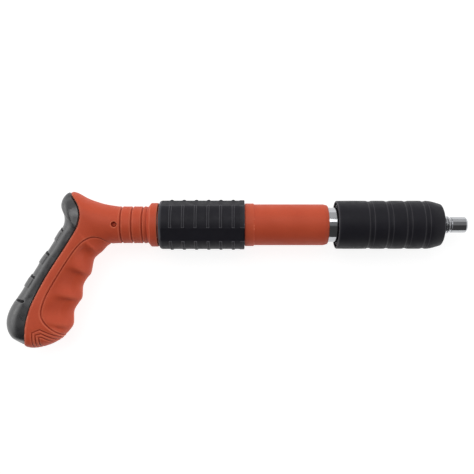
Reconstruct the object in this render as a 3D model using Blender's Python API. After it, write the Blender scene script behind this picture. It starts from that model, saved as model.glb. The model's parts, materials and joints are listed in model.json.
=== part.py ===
"""Pistol-grip impact nail driver, about 38 cm long, lying on its side.

The barrel runs along +X to the nozzle, the grip hangs towards -Y, and +Z is up. The origin is the
bottom centre of the object's box. Lengths below are in millimetres, and positions along the barrel
are distances from the origin; the meshes are made in metres.
"""

import math

import bmesh
import bpy
from mathutils import Matrix, Vector

MM = 0.001

# Where the barrel axis lies above the ground and beside the origin.
AXIS_Y = 37.25
AXIS_Z = 21.0

# Clearance between pieces that touch or slide.
GAP = 0.3
SEGMENTS = 32
SMALL_SEGMENTS = 20
FINE_SEGMENTS = 16

# How far the sear moves across the hammer.
SEAR_TRAVEL = 2.2

# Handle.
NECK_R = 15.45
NECK_END = -65.2
COLLAR_R = 17.9
COLLAR_FROM = -71.0
COLLAR_TAPER = 2.3
NECK_GROOVES = (-77.8, -86.5, -95.5)
GROOVE_WIDTH = 2.2
GROOVE_DEPTH = 0.6
BUTT_Y = -102.3
STRAP_THICK = 2.4
CAVITY_INSET = 6.0
CAVITY_FROM = 7.5
CAVITY_TO = 18.0
CROSS_PIN_X = -100.0
CROSS_PIN_R = 1.9
CROSS_PIN_LENGTH = 23.6
SCREW_PLACES = ((-122.0, -5.0), (-143.0, -46.0), (-156.0, -84.0))
SCREW_SHANK_R = 1.4
SCREW_HEAD_R = 2.9
SCREW_TIP_Z = 10.2
SCREW_SHOULDER_Z = -12.3
SCREW_TOP_Z = -13.9
SCREW_HOLE_R = 1.7
HEAD_HOLE_R = 3.3
BOSS_R = 4.2

# Longer than the handle is thick, for the bars that cut right through it.
THROUGH = 50.0

# Mid grip sleeve over the rear of the front housing.
MID_REAR = -64.2
MID_FRONT = 6.6
MID_R = 20.35
RIB_R = 21.0
RIB_WIDTH = 2.7
RIB_FIRST = -54.0
RIB_PITCH = 10.25
RIB_COUNT = 6
LIP_R = 20.7
LIP_FROM = 2.1

# Front housing: the tube that the barrel slides in.
HOUSING_R = 17.15
HOUSING_BORE = 15.9
HOUSING_FRONT = 76.1
LIP_INSIDE = 73.9
REAR_BUSH = (-64.5, -56.0)
GUIDE_BUSH_REAR = -36.0
FRONT_BUSH_REAR = 64.0
RING_R = 17.9
RING_FROM = 7.0
RING_TO = 14.1

# Striker cylinder inside the neck and housing.
CYLINDER_R = 11.4
CYLINDER_BORE = 9.4
CYLINDER_REAR = -104.0
CYLINDER_FRONT = -24.0
PLUG_FRONT = -95.9
BUFFER_FRONT = -92.6

# Barrel tube and what slides with it.
BARREL_R = 14.5
BARREL_BORE = 12.2
BARREL_REAR = 20.0
BARREL_FRONT = 150.0
SLEEVE_REAR = 83.1
SLEEVE_FRONT = 170.3
SLEEVE_R = 20.2
SLEEVE_NOSE_R = 17.2
SLEEVE_TAPER_FROM = 159.8
SLEEVE_GROOVES = (110.3, 125.4, 140.6, 155.5)
SLEEVE_HOLLOW_R = 18.4
SLEEVE_HOLLOW_TO = 106.0
SLEEVE_SEAT = 153.4
NUT_ROOM_FRONT = 161.2
NUT_ROOM_R = 12.0
STOP_RING = (61.0, 63.7)
NOSE_REAR = 128.0
NOSE_STEP = 139.5
NOSE_FRONT = 153.0
NOSE_SOCKET_R = 6.3
NUT_X = 157.5
NUT_LENGTH = 5.0
NUT_R = 9.8
NOZZLE_REAR = 140.0
NOZZLE_STEM_R = 6.0
NOZZLE_THREAD_FROM = 154.0
NOZZLE_THREAD_R = 6.6
NOZZLE_COLLAR_FROM = 160.5
O_RING_X = 165.9
O_RING_GROOVE_R = 6.2
O_RING_GROOVE_HALF = 1.1
NOZZLE_R = 7.25
NOZZLE_TIP_R = 6.65
NOZZLE_STEP = 177.3
NOZZLE_TIP_FROM = 179.6
NOZZLE_END = 192.4
NOZZLE_BORE = 4.1
NOZZLE_CHAMFER = 1.4
PIN_R = 3.4
PIN_TIP = -35.7
PIN_TIP_R = 2.6
PIN_SHOULDER = -28.0
PIN_FRONT = 168.0
PIN_COLLAR = (92.0, 95.0)
PIN_COLLAR_R = 11.4

# Hammer inside the striker cylinder.
HAMMER_R = 9.1
HAMMER_REAR = -56.0
HAMMER_FRONT = -22.0
HAMMER_BORE_REAR = -50.3
TIP_BORE = 3.0
SEAR_SLOT_REAR = -42.0
SEAR_SLOT_FRONT = -36.0
SEAR_HALF_WIDTH = 3.7
RING_GROOVE = (-39.7, -38.3)
RING_GROOVE_R = 8.2

# The handle's stations, from the neck to the butt: a point on its back edge, the point across from it
# on its front edge, both from the barrel axis, and half its thickness between them.
HANDLE_STATIONS = (
    ((-98.7, 15.5), (-98.7, -15.4), 15.45),
    ((-110.9, 17.6), (-104.4, -15.9), 16.0),
    ((-123.5, 21.8), (-107.4, -17.4), 16.6),
    ((-134.2, 27.3), (-109.5, -19.2), 16.8),
    ((-140.8, 26.9), (-111.0, -20.8), 16.8),
    ((-145.3, 22.3), (-112.2, -22.0), 16.8),
    ((-146.7, 15.8), (-113.2, -22.9), 16.8),
    ((-144.2, 8.5), (-114.2, -23.7), 16.8),
    ((-144.4, 0.9), (-116.8, -25.8), 16.7),
    ((-149.6, -8.1), (-119.8, -29.6), 16.5),
    ((-156.0, -18.6), (-122.1, -40.4), 16.2),
    ((-163.1, -28.5), (-125.4, -44.8), 16.0),
    ((-169.1, -38.4), (-128.8, -51.2), 16.0),
    ((-174.8, -46.8), (-129.6, -61.0), 16.2),
    ((-180.5, -56.4), (-132.5, -65.6), 16.8),
    ((-186.5, -64.8), (-136.3, -72.4), 17.6),
    ((-191.0, -73.7), (-136.8, -82.8), 18.4),
    ((-192.4, -82.5), (-139.7, -88.4), 18.8),
    ((-189.9, -90.9), (-146.1, -94.9), 18.2),
    ((-183.9, -97.0), (-153.3, -99.1), 15.5),
    ((-176.1, -101.0), (-159.9, -101.4), 10.5),
    ((-171.7, BUTT_Y), (-164.3, BUTT_Y), 5.5),
)

# The edge of the rubber back strap on the handle's sides, from above the horn to below the butt.
STRAP_EDGE = (
    (-139.5, 30.5), (-137.0, 26.0), (-134.7, 23.5), (-132.7, 21.0), (-131.2, 18.5), (-129.7, 16.1),
    (-128.3, 11.4), (-127.8, 6.5), (-128.7, 1.4), (-130.3, -3.1), (-138.8, -16.8), (-148.6, -31.4),
    (-159.1, -48.6), (-167.3, -65.6), (-171.3, -80.2), (-172.2, -90.0), (-172.7, -95.5),
    (-174.2, -99.3), (-176.5, -101.6), (-180.0, -105.0),
)
BEHIND_HANDLE = -205.0


def clear_scene():
    for item in list(bpy.data.objects):
        bpy.data.objects.remove(item)


def material(name, colour, roughness, metallic=0.0):
    """A plain surface, made once."""
    made = bpy.data.materials.get(name)
    if made is None:
        made = bpy.data.materials.new(name)
        made.use_nodes = True
        shader = made.node_tree.nodes["Principled BSDF"]
        shader.inputs["Base Color"].default_value = (*colour, 1.0)
        shader.inputs["Roughness"].default_value = roughness
        shader.inputs["Metallic"].default_value = metallic
    return made


def orange_plastic():
    return material("orange_plastic", (0.56, 0.09, 0.035), 0.45)


def black_rubber():
    return material("black_rubber", (0.012, 0.012, 0.013), 0.6)


def chrome():
    return material("chrome", (0.72, 0.72, 0.74), 0.15, 1.0)


def steel():
    return material("steel", (0.45, 0.45, 0.47), 0.35, 1.0)


def black_steel():
    return material("black_steel", (0.04, 0.03, 0.03), 0.5, 1.0)


def brass():
    return material("brass", (0.62, 0.43, 0.15), 0.35, 1.0)


def finish(name, mesh, surface, parent, smooth=True):
    """Wraps a mesh in an object on the barrel axis, carried by one of the groups."""
    mesh.materials.append(surface)
    if smooth:
        mesh.shade_smooth()
        mesh.set_sharp_from_angle(angle=math.radians(35))
    made = bpy.data.objects.new(name, mesh)
    bpy.context.scene.collection.objects.link(made)
    if parent is not None:
        made.parent = parent
    else:
        made.location = (0, AXIS_Y * MM, AXIS_Z * MM)
    return made


def mesh_of(bm, name):
    """A mesh from the bmesh, its faces turned outwards and its lengths turned into metres."""
    bmesh.ops.remove_doubles(bm, verts=bm.verts, dist=0.001)
    bmesh.ops.recalc_face_normals(bm, faces=bm.faces)
    bmesh.ops.scale(bm, vec=(MM, MM, MM), verts=bm.verts)
    mesh = bpy.data.meshes.new(name)
    bm.to_mesh(mesh)
    bm.free()
    return mesh


def group(name):
    """An empty on the barrel axis that carries the pieces that move together."""
    made = bpy.data.objects.new(name, None)
    made.location = (0, AXIS_Y * MM, AXIS_Z * MM)
    bpy.context.scene.collection.objects.link(made)
    bpy.context.view_layer.update()
    return made


def turned(name, profile, surface, parent, segments=SEGMENTS, closed=True):
    """A body turned about the barrel axis from its section's (position, radius) points.

    A closed section makes a ring or tube, and an open one starts and ends on the axis.
    """
    bm = bmesh.new()
    points = [bm.verts.new((x, radius, 0)) for x, radius in profile]
    edges = [bm.edges.new(pair) for pair in zip(points, points[1:])]
    if closed:
        edges.append(bm.edges.new((points[-1], points[0])))
    bmesh.ops.spin(
        bm, geom=points + edges, cent=(0, 0, 0), axis=(1, 0, 0), angle=math.tau, steps=segments, use_merge=True
    )
    return finish(name, mesh_of(bm, name), surface, parent)


def tube(name, start, end, outer, inner, surface, parent, bevel=0.4, segments=SMALL_SEGMENTS):
    """A plain ring or tube with small bevels on its outer edges."""
    profile = (
        (start, inner), (start, outer - bevel), (start + bevel, outer),
        (end - bevel, outer), (end, outer - bevel), (end, inner),
    )
    return turned(name, profile, surface, parent, segments)


def block(name, low, high, surface, parent):
    """A box between two corners."""
    bm = bmesh.new()
    size = [b - a for a, b in zip(low, high)]
    middle = [(a + b) / 2 for a, b in zip(low, high)]
    bmesh.ops.create_cube(bm, size=1.0, matrix=Matrix.Translation(middle) @ Matrix.Diagonal((*size, 1.0)))
    return finish(name, mesh_of(bm, name), surface, parent, smooth=False)


def rod(name, centre, direction, length, radius, surface, parent, segments=FINE_SEGMENTS):
    """A round bar centred on a point."""
    bm = bmesh.new()
    turn = Vector(direction).to_track_quat("Z", "Y").to_matrix().to_4x4()
    bmesh.ops.create_cone(
        bm, cap_ends=True, segments=segments, radius1=radius, radius2=radius, depth=length,
        matrix=Matrix.Translation(centre) @ turn,
    )
    return finish(name, mesh_of(bm, name), surface, parent)


def combine(target, other, operation="DIFFERENCE"):
    """Cuts or joins one object with another, which then only guides."""
    change = target.modifiers.new(other.name, "BOOLEAN")
    change.operation = operation
    change.solver = "EXACT"
    change.object = other
    other.hide_render = True
    other.display_type = "WIRE"


def spring(name, start, end, radius, wire, turns, parent, steps=8):
    """A coil spring along the barrel axis."""
    curve = bpy.data.curves.new(name, "CURVE")
    curve.dimensions = "3D"
    line = curve.splines.new("POLY")
    count = turns * steps + 1
    line.points.add(count - 1)
    length = end - start - wire
    for index, point in enumerate(line.points):
        angle = math.tau * index / steps
        x = start + wire / 2 + length * index / (count - 1)
        point.co = (x * MM, radius * math.cos(angle) * MM, radius * math.sin(angle) * MM, 1.0)
    curve.bevel_depth = wire / 2 * MM
    curve.bevel_resolution = 1
    curve.use_fill_caps = True
    curve.materials.append(steel())
    made = bpy.data.objects.new(name, curve)
    bpy.context.scene.collection.objects.link(made)
    made.parent = parent
    return made


def smooth_between(values, place):
    """The value at a place, counted in list items, on a smooth curve through the listed tuples."""
    index = min(int(place), len(values) - 2)
    share = place - index
    before, start = values[max(index - 1, 0)], values[index]
    end, after = values[index + 1], values[min(index + 2, len(values) - 1)]
    result = []
    for a, b, c, d in zip(before, start, end, after):
        slope_in, slope_out = (c - a) / 2, (d - b) / 2
        bend = 3 * (c - b) - 2 * slope_in - slope_out
        twist = 2 * (b - c) + slope_in + slope_out
        result.append(b + share * (slope_in + share * (bend + share * twist)))
    return result


def smooth_line(values, steps):
    """Points along the smooth curve through the listed tuples."""
    count = (len(values) - 1) * steps
    return [smooth_between(values, index / steps) for index in range(count + 1)]


def neck_stations():
    """The neck's round sections from its collar back to the grip, with its ring grooves."""
    rings = [(NECK_END, COLLAR_R), (COLLAR_FROM, COLLAR_R), (COLLAR_FROM - COLLAR_TAPER, NECK_R)]
    half = GROOVE_WIDTH / 2
    for place in NECK_GROOVES:
        rings += [(place + half, NECK_R), (place + half / 2, NECK_R - GROOVE_DEPTH)]
        rings += [(place - half / 2, NECK_R - GROOVE_DEPTH), (place - half, NECK_R)]
    return [(x, radius, x, -radius, radius) for x, radius in rings]


def handle_stations(steps=2):
    """All of the handle's stations: back edge x and y, front edge x and y, half thickness."""
    flat = [(*back, *front, half) for back, front, half in HANDLE_STATIONS]
    return neck_stations() + smooth_line(flat, steps)


def section(station, inset, arc_steps=7):
    """The rounded outline across the handle at a station, from the back edge over to the front edge."""
    back, front, half = Vector(station[:2]), Vector(station[2:4]), station[4] - inset
    across = (front - back).normalized()
    back, front = back + across * inset, front - across * inset
    middle, reach = (back + front) / 2, (front - back) / 2
    points = []
    for index in range(arc_steps + 1):
        angle = math.pi * index / arc_steps
        flat = middle - reach * math.cos(angle)
        points.append((flat.x, max(flat.y, BUTT_Y + inset), half * math.sin(angle)))
    return points


def loft(name, outlines, surface, parent):
    """A solid through closed outlines with the same number of points, capped at both ends."""
    bm = bmesh.new()
    rings = [[bm.verts.new(point) for point in outline] for outline in outlines]
    for one, two in zip(rings, rings[1:]):
        for index in range(len(one)):
            after = (index + 1) % len(one)
            bm.faces.new((one[index], one[after], two[after], two[index]))
    bm.faces.new(rings[0])
    bm.faces.new(list(reversed(rings[-1])))
    return finish(name, mesh_of(bm, name), surface, parent)


def whole_handle(name, inset, surface):
    """Both sides of the handle as one body."""
    outlines = []
    for station in handle_stations():
        upper = section(station, inset)
        lower = [(x, y, -z) for x, y, z in reversed(upper[1:-1])]
        outlines.append(upper + lower)
    return loft(name, outlines, surface, None)


def half_handle(name, side):
    """One side of the handle, flat along the parting plane between the two shells."""
    outlines = []
    for station in handle_stations():
        upper = section(station, 0.0)
        outlines.append([(x, y, side * max(z, GAP / 2)) for x, y, z in upper])
    return loft(name, outlines, orange_plastic(), None)


def grip_cavity(step=0.5):
    """The hollow inside the grip, left solid round each screw. It spans stations, counted from the neck."""
    outlines = []
    flat = [(*back, *front, half) for back, front, half in HANDLE_STATIONS]
    for index in range(int((CAVITY_TO - CAVITY_FROM) / step) + 1):
        upper = section(smooth_between(flat, CAVITY_FROM + index * step), CAVITY_INSET)
        lower = [(x, y, -z) for x, y, z in reversed(upper[1:-1])]
        outlines.append(upper + lower)
    made = loft("grip_cavity", outlines, orange_plastic(), None)
    for number, (x, y) in enumerate(SCREW_PLACES):
        boss = rod(f"boss_{number}", (x, y, 0), (0, 0, 1), THROUGH, BOSS_R, orange_plastic(), None)
        combine(made, boss)
    return made


def strap_region(name, grow):
    """A tall prism round the strap's outline, grown past the strap's edge."""
    edge = [(x + grow, y) for x, y in smooth_line(STRAP_EDGE, 3)]
    outline = edge + [(BEHIND_HANDLE, edge[-1][1]), (BEHIND_HANDLE, edge[0][1])]
    floor = [(x, y, -THROUGH / 2) for x, y in outline]
    roof = [(x, y, THROUGH / 2) for x, y in outline]
    return loft(name, [floor, roof], black_rubber(), None)


def make_handle():
    """Two moulded shells, the rubber strap over their backs, and what holds them together."""
    recess = strap_region("strap_recess", GAP)
    combine(recess, whole_handle("strap_bed", STRAP_THICK + GAP, orange_plastic()))
    bore = rod("neck_bore", ((NECK_END + CYLINDER_REAR) / 2, 0, 0), (1, 0, 0),
               NECK_END - CYLINDER_REAR + 1.2, CYLINDER_R + GAP, orange_plastic(), None, SEGMENTS)
    cavity = grip_cavity()
    pin_hole = rod("cross_pin_hole", (CROSS_PIN_X, 0, 0), (0, 0, 1), THROUGH, CROSS_PIN_R + GAP, steel(), None)
    shells = [half_handle("handle_shell_upper", 1), half_handle("handle_shell_lower", -1)]
    cutters = [recess, bore, cavity, pin_hole]
    for number, (x, y) in enumerate(SCREW_PLACES, 1):
        for kind, top, radius in (("screw", SCREW_TIP_Z + 2 * GAP, SCREW_HOLE_R),
                                  ("head", SCREW_SHOULDER_Z + GAP, HEAD_HOLE_R)):
            centre = (x, y, top - THROUGH / 2)
            cutters.append(rod(f"{kind}_hole_{number}", centre, (0, 0, 1), THROUGH, radius, steel(), None))
    for shell in shells:
        for cutter in cutters:
            combine(shell, cutter)
    strap = whole_handle("back_strap", 0.0, black_rubber())
    combine(strap, strap_region("strap_outline", 0.0), "INTERSECT")
    combine(strap, whole_handle("strap_inside", STRAP_THICK, black_rubber()))
    for number, (x, y) in enumerate(SCREW_PLACES, 1):
        handle_screw(f"handle_screw_{number}", x, y)
    rod("cross_pin", (CROSS_PIN_X, 0, 0), (0, 0, 1), CROSS_PIN_LENGTH, CROSS_PIN_R, black_steel(), None)


def handle_screw(name, x, y):
    """A pan-head screw put in from the lower side, with a hexagonal socket."""
    profile = (
        (SCREW_TOP_Z, 0), (SCREW_TOP_Z, SCREW_HEAD_R - 0.5), (SCREW_TOP_Z + 0.4, SCREW_HEAD_R),
        (SCREW_SHOULDER_Z, SCREW_HEAD_R), (SCREW_SHOULDER_Z, SCREW_SHANK_R), (SCREW_TIP_Z - 0.7, SCREW_SHANK_R),
        (SCREW_TIP_Z, 0),
    )
    made = turned(name, profile, black_steel(), None, FINE_SEGMENTS, closed=False)
    made.rotation_euler = (0, -math.pi / 2, 0)
    made.location = (x * MM, (AXIS_Y + y) * MM, AXIS_Z * MM)
    socket = rod(f"{name}_socket", (SCREW_TOP_Z + 0.3, 0, 0), (1, 0, 0), 1.6, 1.3, steel(), None, 6)
    socket.rotation_euler = made.rotation_euler
    socket.location = made.location
    combine(made, socket)


def make_sleeves_and_housing():
    """The ribbed rubber sleeve, the housing tube under it and the bushes that line the housing."""
    outer = [(MID_REAR, MID_R - 2.6), (MID_REAR + 0.9, MID_R - 0.9), (MID_REAR + 2.6, MID_R)]
    for number in range(RIB_COUNT):
        place = RIB_FIRST + number * RIB_PITCH
        half = RIB_WIDTH / 2
        outer += [(place - half, MID_R), (place, RIB_R), (place + half, MID_R)]
    outer += [(LIP_FROM, MID_R), (LIP_FROM + 0.6, LIP_R), (MID_FRONT - 0.7, LIP_R), (MID_FRONT, LIP_R - 0.7)]
    inner = [(MID_FRONT, HOUSING_R + GAP), (MID_REAR, HOUSING_R + GAP)]
    turned("mid_grip_sleeve", outer + inner, black_rubber(), None)

    housing_rear = NECK_END + 0.5
    housing = (
        (housing_rear, HOUSING_BORE), (housing_rear, HOUSING_R), (RING_FROM, HOUSING_R),
        (RING_FROM, RING_R - 0.5), (RING_FROM + 0.5, RING_R), (RING_TO - 0.5, RING_R), (RING_TO, RING_R - 0.5),
        (RING_TO + 0.4, HOUSING_R), (LIP_INSIDE - 1.7, HOUSING_R), (LIP_INSIDE, HOUSING_R - 0.4),
        (HOUSING_FRONT - 0.8, HOUSING_R - 1.2), (HOUSING_FRONT, BARREL_R + GAP + 0.2),
        (HOUSING_FRONT, BARREL_R + GAP), (LIP_INSIDE, BARREL_R + GAP), (LIP_INSIDE, HOUSING_BORE),
    )
    turned("front_housing", housing, orange_plastic(), None)
    bush_r = HOUSING_BORE - GAP
    tube("front_bush", FRONT_BUSH_REAR, LIP_INSIDE - GAP, bush_r, BARREL_R + GAP, brass(), None)
    tube("guide_bush", GUIDE_BUSH_REAR, CYLINDER_FRONT, bush_r, CYLINDER_R + GAP, steel(), None)
    tube("rear_bush", *REAR_BUSH, bush_r, CYLINDER_R + GAP, steel(), None)


def make_striker_cylinder():
    """The steel cylinder in the neck, its end plug, the buffer and the two springs behind the barrel."""
    cylinder = tube("striker_cylinder", CYLINDER_REAR, CYLINDER_FRONT, CYLINDER_R, CYLINDER_BORE, steel(), None,
                    segments=SEGMENTS)
    plug_r = CYLINDER_BORE - GAP
    plug_profile = (
        (CYLINDER_REAR + 0.2, 0), (CYLINDER_REAR + 0.2, plug_r), (PLUG_FRONT - 0.4, plug_r),
        (PLUG_FRONT, plug_r - 0.4), (PLUG_FRONT, 0),
    )
    plug = turned("rear_plug", plug_profile, steel(), None, closed=False)
    hole = rod("plug_hole", (CROSS_PIN_X, 0, 0), (0, 0, 1), THROUGH, CROSS_PIN_R + GAP, steel(), None)
    combine(cylinder, hole)
    combine(plug, hole)
    buffer_rear = PLUG_FRONT + GAP
    buffer = (
        (buffer_rear, 0), (buffer_rear, plug_r - 0.6), (buffer_rear + 0.6, plug_r),
        (BUFFER_FRONT - 0.6, plug_r), (BUFFER_FRONT, plug_r - 0.6), (BUFFER_FRONT, 0),
    )
    turned("buffer_pad", buffer, black_rubber(), None, closed=False)
    rest = group("springs_on_handle")
    spring("main_spring", BUFFER_FRONT + GAP, HAMMER_REAR - GAP, 7.6, 1.8, 5, rest)
    spring("return_spring", CYLINDER_FRONT + GAP, BARREL_REAR - GAP, 13.3, 1.6, 7, rest)


def make_front_assembly():
    """The barrel tube, nozzle and sleeve, which slide back together when the nozzle is pressed."""
    front = group("front_assembly")
    tube("barrel_tube", BARREL_REAR, BARREL_FRONT, BARREL_R, BARREL_BORE, chrome(), front, segments=SEGMENTS)
    tube("stop_ring", *STOP_RING, HOUSING_BORE - GAP, BARREL_R + GAP, steel(), front, bevel=0.2)
    nose_r = BARREL_BORE - GAP
    nose_bore = PIN_R + 0.4
    nose = (
        (NOSE_REAR, nose_bore), (NOSE_REAR, nose_r - 0.5), (NOSE_REAR + 0.5, nose_r),
        (BARREL_FRONT + GAP, nose_r), (BARREL_FRONT + GAP, BARREL_R), (NOSE_FRONT, BARREL_R),
        (NOSE_FRONT, NOSE_SOCKET_R), (NOSE_STEP, NOSE_SOCKET_R), (NOSE_STEP, nose_bore),
    )
    turned("nose_bush", nose, steel(), front)
    groove_rear, groove_front = O_RING_X - O_RING_GROOVE_HALF, O_RING_X + O_RING_GROOVE_HALF
    nozzle = (
        (NOZZLE_REAR, NOZZLE_BORE), (NOZZLE_REAR, NOZZLE_STEM_R), (NOZZLE_THREAD_FROM, NOZZLE_STEM_R),
        (NOZZLE_THREAD_FROM, NOZZLE_THREAD_R), (NOZZLE_COLLAR_FROM, NOZZLE_THREAD_R),
        (NOZZLE_COLLAR_FROM, NOZZLE_R), (groove_rear, NOZZLE_R), (groove_rear, O_RING_GROOVE_R),
        (groove_front, O_RING_GROOVE_R), (groove_front, NOZZLE_R), (NOZZLE_STEP - 0.5, NOZZLE_R),
        (NOZZLE_STEP, NOZZLE_R - 0.5), (NOZZLE_STEP, NOZZLE_STEM_R), (NOZZLE_TIP_FROM - 0.4, NOZZLE_STEM_R),
        (NOZZLE_TIP_FROM, NOZZLE_TIP_R), (NOZZLE_END - NOZZLE_CHAMFER, NOZZLE_TIP_R),
        (NOZZLE_END, NOZZLE_TIP_R - NOZZLE_CHAMFER), (NOZZLE_END, NOZZLE_BORE),
    )
    turned("nozzle", nozzle, chrome(), front, SMALL_SEGMENTS)
    turns = [math.tau * index / 8 for index in range(8)]
    ring = [(O_RING_X + 0.7 * math.cos(turn), 6.9 + 0.35 * math.sin(turn)) for turn in turns]
    turned("nozzle_o_ring", ring, black_rubber(), front, SMALL_SEGMENTS)
    nut = rod("lock_nut", (NUT_X, 0, 0), (1, 0, 0), NUT_LENGTH, NUT_R, steel(), front, 6)
    nut_hole = rod("lock_nut_hole", (NUT_X, 0, 0), (1, 0, 0), NUT_LENGTH * 2, NOZZLE_THREAD_R + GAP,
                   steel(), front, SMALL_SEGMENTS)
    combine(nut, nut_hole)
    tube("sleeve_liner", SLEEVE_REAR + 1.7, SLEEVE_HOLLOW_TO - GAP, SLEEVE_HOLLOW_R - GAP, HOUSING_R + 0.35,
         steel(), front, bevel=0.15)
    turned("front_sleeve", front_sleeve_section(), black_rubber(), front)
    spring("pin_spring", PIN_COLLAR[1] + GAP, NOSE_REAR - GAP, 9.5, 1.2, 6, front)


def front_sleeve_section():
    """Half the sleeve's section: grooved outside, hollow at the rear to pass over the housing."""
    outer = [(SLEEVE_REAR, SLEEVE_R - 1.4), (SLEEVE_REAR + 0.5, SLEEVE_R - 0.5), (SLEEVE_REAR + 1.9, SLEEVE_R)]
    for place in SLEEVE_GROOVES:
        outer += [(place - 1.6, SLEEVE_R), (place, SLEEVE_R - 0.5), (place + 1.6, SLEEVE_R)]
    outer += [(SLEEVE_TAPER_FROM, SLEEVE_R - 0.1), (SLEEVE_FRONT - 1.2, SLEEVE_NOSE_R + 0.5)]
    outer += [(SLEEVE_FRONT - 0.3, SLEEVE_NOSE_R), (SLEEVE_FRONT, SLEEVE_NOSE_R - 0.8)]
    inner = [
        (SLEEVE_FRONT, NOZZLE_R + GAP), (NUT_ROOM_FRONT, NOZZLE_R + GAP), (NUT_ROOM_FRONT, NUT_ROOM_R),
        (SLEEVE_SEAT, NUT_ROOM_R), (SLEEVE_SEAT, BARREL_R + GAP), (SLEEVE_HOLLOW_TO, BARREL_R + GAP),
        (SLEEVE_HOLLOW_TO, SLEEVE_HOLLOW_R), (SLEEVE_REAR, SLEEVE_HOLLOW_R),
    ]
    return outer + inner


def make_striker():
    """The hammer with its sear, and the drive pin that it strikes."""
    moving = group("striker")
    hammer_bore = PIN_R + 0.8
    groove_rear, groove_front = RING_GROOVE
    hammer_profile = (
        (HAMMER_BORE_REAR, 0), (HAMMER_BORE_REAR, TIP_BORE), (SEAR_SLOT_REAR, TIP_BORE),
        (SEAR_SLOT_FRONT, hammer_bore), (HAMMER_FRONT, hammer_bore), (HAMMER_FRONT, HAMMER_R - 0.6),
        (HAMMER_FRONT - 0.6, HAMMER_R), (groove_front, HAMMER_R), (groove_front, RING_GROOVE_R),
        (groove_rear, RING_GROOVE_R), (groove_rear, HAMMER_R), (HAMMER_REAR + 0.6, HAMMER_R),
        (HAMMER_REAR, HAMMER_R - 0.6), (HAMMER_REAR, 0),
    )
    hammer = turned("hammer", hammer_profile, steel(), moving, closed=False)
    half = SEAR_HALF_WIDTH + GAP
    slot = block("sear_slot", (SEAR_SLOT_REAR, -12, -half), (SEAR_SLOT_FRONT, 12, half), steel(), moving)
    combine(hammer, slot)
    tube("sear_ring", groove_rear + GAP, groove_front - GAP, HAMMER_R - 0.05, RING_GROOVE_R + 0.25,
         steel(), moving, bevel=0.1)

    sear_group = group("sear")
    low = (SEAR_SLOT_REAR + GAP, -5.0, -SEAR_HALF_WIDTH)
    high = (SEAR_SLOT_FRONT - GAP, 6.4, SEAR_HALF_WIDTH)
    sear = block("sear_block", low, high, steel(), sear_group)
    middle = (SEAR_SLOT_REAR + SEAR_SLOT_FRONT) / 2
    sear_hole = rod("sear_hole", (middle, SEAR_TRAVEL, 0), (1, 0, 0), 20, TIP_BORE, steel(), sear_group)
    combine(sear, sear_hole)

    pin_profile = (
        (PIN_TIP, 0), (PIN_TIP, PIN_TIP_R - 0.3), (PIN_TIP + 0.3, PIN_TIP_R), (PIN_SHOULDER, PIN_TIP_R),
        (PIN_SHOULDER + 0.8, PIN_R), (PIN_FRONT - 0.8, PIN_R), (PIN_FRONT, PIN_R - 0.6), (PIN_FRONT, 0),
    )
    pin_group = group("drive_pin_group")
    turned("drive_pin", pin_profile, steel(), pin_group, SMALL_SEGMENTS, closed=False)
    tube("pin_collar", *PIN_COLLAR, PIN_COLLAR_R, PIN_R + GAP, steel(), pin_group)


def main():
    clear_scene()
    make_handle()
    make_sleeves_and_housing()
    make_striker_cylinder()
    make_front_assembly()
    make_striker()


main()
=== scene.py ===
"""Looks of the two-handed impact nail driver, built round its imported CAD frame.

Positions along the barrel and away from its axis are in millimetres, as (x, y, z) from the point on the
barrel axis at the object's middle; MM turns them into the frame's metres.
"""

import json
import math

import bmesh
import bpy
import numpy as np
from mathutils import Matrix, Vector


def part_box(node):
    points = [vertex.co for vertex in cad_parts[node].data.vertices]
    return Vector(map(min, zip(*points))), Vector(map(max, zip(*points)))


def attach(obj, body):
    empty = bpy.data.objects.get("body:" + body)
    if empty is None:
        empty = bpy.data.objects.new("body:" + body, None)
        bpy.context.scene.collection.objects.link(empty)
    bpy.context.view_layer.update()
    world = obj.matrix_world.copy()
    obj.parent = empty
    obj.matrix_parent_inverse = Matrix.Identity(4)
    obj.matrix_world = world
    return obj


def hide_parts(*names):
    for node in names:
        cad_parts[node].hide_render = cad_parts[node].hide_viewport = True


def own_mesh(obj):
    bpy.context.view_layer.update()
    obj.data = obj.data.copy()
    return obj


MM = 0.001

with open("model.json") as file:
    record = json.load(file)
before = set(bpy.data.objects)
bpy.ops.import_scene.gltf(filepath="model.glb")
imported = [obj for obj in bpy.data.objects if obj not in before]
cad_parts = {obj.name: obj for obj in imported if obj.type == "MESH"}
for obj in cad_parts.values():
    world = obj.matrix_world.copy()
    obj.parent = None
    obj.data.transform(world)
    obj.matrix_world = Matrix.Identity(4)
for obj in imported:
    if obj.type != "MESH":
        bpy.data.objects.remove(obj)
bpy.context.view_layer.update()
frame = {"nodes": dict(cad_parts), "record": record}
BARREL_LOW, BARREL_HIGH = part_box("barrel_tube")
AXIS = np.array((0.0, (BARREL_LOW.y + BARREL_HIGH.y) / 2, (BARREL_LOW.z + BARREL_HIGH.z) / 2))

# ---------------------------------------------------------------- sizes: the frame's first, then the details


def span(node):
    """A node's first and last position along the barrel, and its radius, in millimetres."""
    low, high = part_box(node)
    return low.x / MM, high.x / MM, (high.z - low.z) / 2 / MM


NECK_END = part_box("handle_shell_upper")[1].x / MM
COLLAR_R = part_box("handle_shell_upper")[1].z / MM - AXIS[2] / MM
MID_REAR, MID_FRONT, RIB_R = span("mid_grip_sleeve")
HOUSING_REAR, HOUSING_FRONT, RING_R = span("front_housing")
SLEEVE_REAR, SLEEVE_FRONT, SLEEVE_R = span("front_sleeve")
BARREL_REAR, BARREL_FRONT, BARREL_R = span("barrel_tube")
NOZZLE_REAR, NOZZLE_END, NOZZLE_R = span("nozzle")
LINER_REAR, LINER_FRONT, LINER_R = span("sleeve_liner")
BUTT_Y = (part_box("handle_shell_upper")[0].y - AXIS[1]) / MM

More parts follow.
